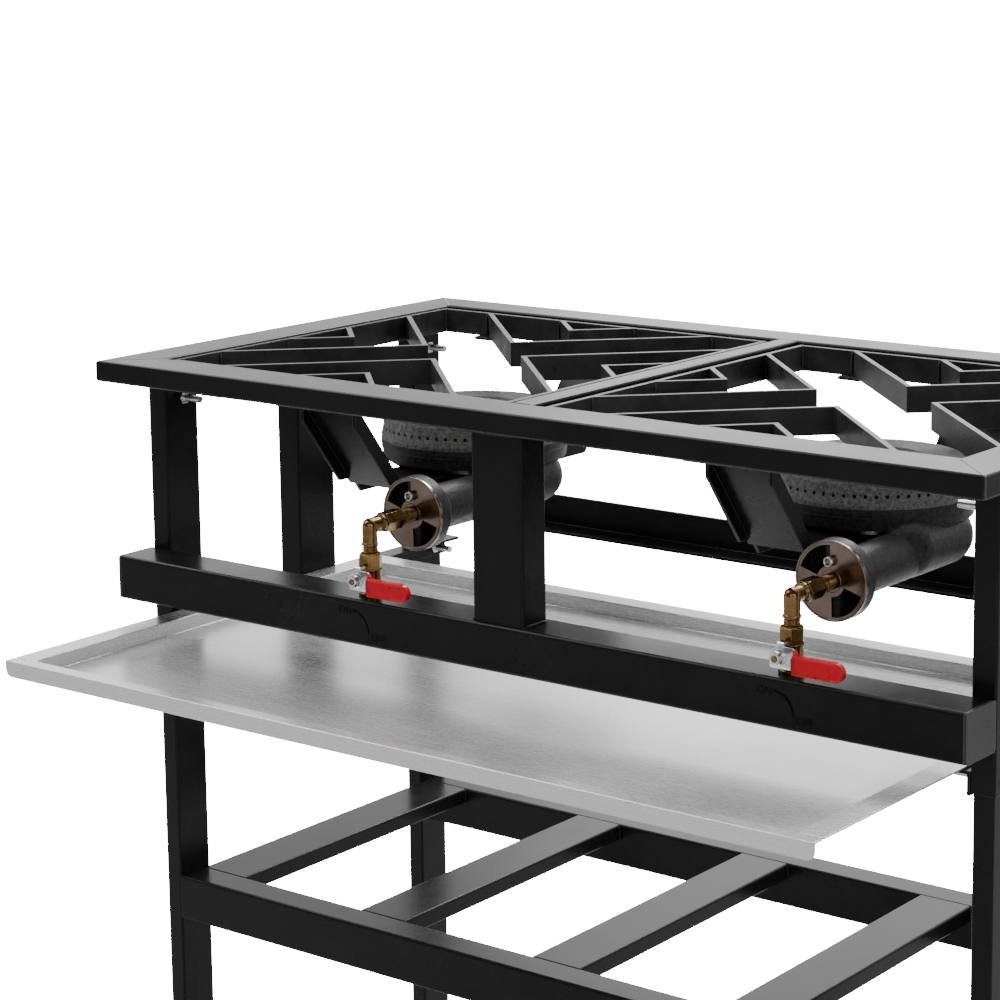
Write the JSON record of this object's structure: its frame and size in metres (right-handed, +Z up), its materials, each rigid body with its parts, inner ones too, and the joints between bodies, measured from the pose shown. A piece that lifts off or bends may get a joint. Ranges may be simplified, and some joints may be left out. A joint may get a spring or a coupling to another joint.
{
  "type": "gas boiling table",
  "caption": "Free-standing steel gas boiling table with ring burners under lift-out pan supports, lever valves on a front gas rail, a pull-out drip tray and a slatted shelf.",
  "frame": {"origin": "on the floor, under the middle of the table", "axes": "+X to the table's right as seen from its valves, +Y to its back, +Z up"},
  "size_m": [0.86, 0.616, 0.79],
  "materials": {
    "rim_front_tube": "semi-gloss black powder coat",
    "rim_back_tube": "semi-gloss black powder coat",
    "rim_left_tube": "semi-gloss black powder coat",
    "rim_right_tube": "semi-gloss black powder coat",
    "rim_cross_bar": "semi-gloss black powder coat",
    "front_left_leg_sleeve": "semi-gloss black powder coat",
    "front_right_leg_sleeve": "semi-gloss black powder coat",
    "back_left_leg_sleeve": "semi-gloss black powder coat",
    "back_right_leg_sleeve": "semi-gloss black powder coat",
    "side_hangers": "semi-gloss black powder coat",
    "front_centre_post": "semi-gloss black powder coat",
    "gas_manifold_tube": "semi-gloss black powder coat",
    "manifold_end_plates": "semi-gloss black powder coat",
    "gas_inlet_socket": "machined brass",
    "left_tray_runner": "semi-gloss black powder coat",
    "right_tray_runner": "semi-gloss black powder coat",
    "back_angle_rail": "semi-gloss black powder coat",
    "trivet_rest_tabs": "semi-gloss black powder coat",
    "left_burner_cradle": "semi-gloss black powder coat",
    "right_burner_cradle": "semi-gloss black powder coat",
    "burner_bolts": "bright zinc plate",
    "leg_bolts": "bright zinc plate",
    "leg_nuts": "bright zinc plate",
    "front_left_leg": "semi-gloss black powder coat",
    "front_right_leg": "semi-gloss black powder coat",
    "back_left_leg": "semi-gloss black powder coat",
    "back_right_leg": "semi-gloss black powder coat",
    "shelf_front_rail": "semi-gloss black powder coat",
    "shelf_back_rail": "semi-gloss black powder coat",
    "shelf_slats": "semi-gloss black powder coat",
    "leg_feet": "matt moulded plastic",
    "drip_tray": "brushed sheet",
    "left_trivet": "semi-gloss black powder coat",
    "right_trivet": "semi-gloss black powder coat",
    "left_burner_body": "black coated rough casting",
    "right_burner_body": "black coated rough casting",
    "left_burner_cap": "bare rough casting",
    "right_burner_cap": "bare rough casting",
    "left_air_shutter": "polished, bronze toned plate",
    "right_air_shutter": "polished, bronze toned plate",
    "left_shutter_screw": "polished, bronze toned plate",
    "right_shutter_screw": "polished, bronze toned plate",
    "left_valve_body": "machined brass",
    "right_valve_body": "machined brass",
    "left_valve_ball": "bright zinc plate",
    "right_valve_ball": "bright zinc plate",
    "left_valve_stem": "machined brass",
    "right_valve_stem": "machined brass",
    "left_valve_lever": "bright zinc plate",
    "right_valve_lever": "bright zinc plate",
    "left_lever_grip": "glossy dipped vinyl",
    "right_lever_grip": "glossy dipped vinyl",
    "left_lever_nut": "bright zinc plate",
    "right_lever_nut": "bright zinc plate",
    "gland_nuts": "machined brass",
    "valve_seats": "smooth seal plastic",
    "gas_elbows": "machined brass",
    "injector_couplings": "machined brass",
    "injectors": "machined brass"
  },
  "bodies": {
    "frame": {"rim_front_tube": "rim_front_tube", "rim_back_tube": "rim_back_tube", "rim_left_tube": "rim_left_tube", "rim_right_tube": "rim_right_tube", "rim_cross_bar": "rim_cross_bar", "front_left_leg_sleeve": "front_left_leg_sleeve", "front_right_leg_sleeve": "front_right_leg_sleeve", "back_left_leg_sleeve": "back_left_leg_sleeve", "back_right_leg_sleeve": "back_right_leg_sleeve", "side_hangers": "side_hangers", "front_centre_post": "front_centre_post", "gas_manifold_tube": "gas_manifold_tube", "manifold_end_plates": "manifold_end_plates", "gas_inlet_socket": "gas_inlet_socket", "left_tray_runner": "left_tray_runner", "right_tray_runner": "right_tray_runner", "back_angle_rail": "back_angle_rail", "trivet_rest_tabs": "trivet_rest_tabs", "left_burner_cradle": "left_burner_cradle", "right_burner_cradle": "right_burner_cradle", "burner_bolts": "burner_bolts", "leg_bolts": "leg_bolts", "leg_nuts": "leg_nuts", "front_left_leg": "front_left_leg", "front_right_leg": "front_right_leg", "back_left_leg": "back_left_leg", "back_right_leg": "back_right_leg", "shelf_front_rail": "shelf_front_rail", "shelf_back_rail": "shelf_back_rail", "shelf_slats": "shelf_slats", "leg_feet": "leg_feet", "left_burner_body": "left_burner_body", "right_burner_body": "right_burner_body", "left_valve_body": "left_valve_body", "right_valve_body": "right_valve_body", "gland_nuts": "gland_nuts", "valve_seats": "valve_seats", "gas_elbows": "gas_elbows", "injector_couplings": "injector_couplings", "injectors": "injectors"},
    "tray": {"drip_tray": "drip_tray"},
    "left_pan_support": {"left_trivet": "left_trivet"},
    "right_pan_support": {"right_trivet": "right_trivet"},
    "left_cap": {"left_burner_cap": "left_burner_cap"},
    "right_cap": {"right_burner_cap": "right_burner_cap"},
    "left_shutter": {"left_air_shutter": "left_air_shutter", "left_shutter_screw": "left_shutter_screw"},
    "right_shutter": {"right_air_shutter": "right_air_shutter", "right_shutter_screw": "right_shutter_screw"},
    "left_lever": {"left_valve_ball": "left_valve_ball", "left_valve_stem": "left_valve_stem", "left_valve_lever": "left_valve_lever", "left_lever_grip": "left_lever_grip", "left_lever_nut": "left_lever_nut"},
    "right_lever": {"right_valve_ball": "right_valve_ball", "right_valve_stem": "right_valve_stem", "right_valve_lever": "right_valve_lever", "right_lever_grip": "right_lever_grip", "right_lever_nut": "right_lever_nut"}
  },
  "joints": [
    {"name": "tray_slide", "type": "slide", "parent": "frame", "child": "tray", "axis": [0, -1, 0], "range_m": [-0.153, 0.1]},
    {"name": "left_pan_support_lift", "type": "slide", "parent": "frame", "child": "left_pan_support", "axis": [0, 0, 1], "range_m": [0, 0.06]},
    {"name": "right_pan_support_lift", "type": "slide", "parent": "frame", "child": "right_pan_support", "axis": [0, 0, 1], "range_m": [0, 0.06]},
    {"name": "left_cap_lift", "type": "slide", "parent": "frame", "child": "left_cap", "axis": [0, 0, 1], "range_m": [0, 0.018]},
    {"name": "right_cap_lift", "type": "slide", "parent": "frame", "child": "right_cap", "axis": [0, 0, 1], "range_m": [0, 0.018]},
    {"name": "left_shutter_turn", "type": "hinge", "parent": "frame", "child": "left_shutter", "pos_m": [-0.1455, -0.154, 0.677], "axis": [0, -1, 0], "range_deg": [-40, 40]},
    {"name": "left_valve_turn", "type": "hinge", "parent": "frame", "child": "left_lever", "pos_m": [-0.1455, -0.207, 0.6347], "axis": [0, -1, 0], "range_deg": [0, 90]},
    {"name": "right_shutter_turn", "type": "hinge", "parent": "frame", "child": "right_shutter", "pos_m": [0.2595, -0.154, 0.677], "axis": [0, -1, 0], "range_deg": [-40, 40]},
    {"name": "right_valve_turn", "type": "hinge", "parent": "frame", "child": "right_lever", "pos_m": [0.2595, -0.207, 0.6347], "axis": [0, -1, 0], "range_deg": [0, 90]}
  ]
}
